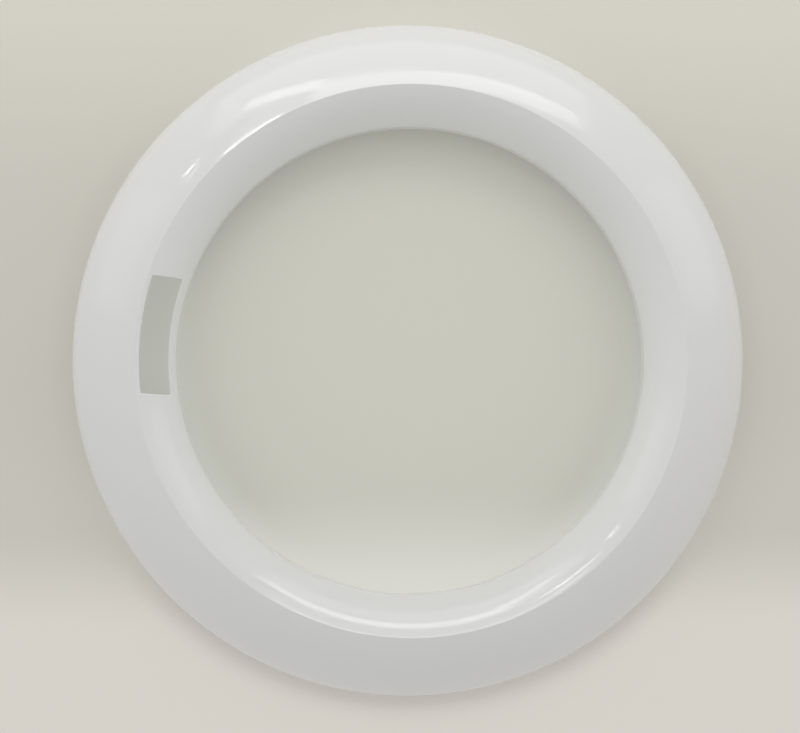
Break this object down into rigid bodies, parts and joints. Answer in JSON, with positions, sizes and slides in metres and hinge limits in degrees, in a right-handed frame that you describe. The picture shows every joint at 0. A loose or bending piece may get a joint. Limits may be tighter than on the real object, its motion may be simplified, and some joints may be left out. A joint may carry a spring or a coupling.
{
  "type": "washing machine door trim ring",
  "caption": "Glossy white moulded outer trim ring of a round front-loader door, with a funnel to the glass opening and a hand-hold aperture in it.",
  "frame": {"origin": "centre of the rear rim plane, on the ring's axis", "axes": "+Z is the door's outward axis, from the rear rim plane to the crest; +Y is the top of the hung door; the hand-hold aperture is on -X"},
  "size_m": [0.46, 0.46, 0.0439],
  "materials": {
    "white_abs": "glossy moulded"
  },
  "bodies": {
    "root": {"door_trim_ring": "white_abs"}
  },
  "joints": []
}
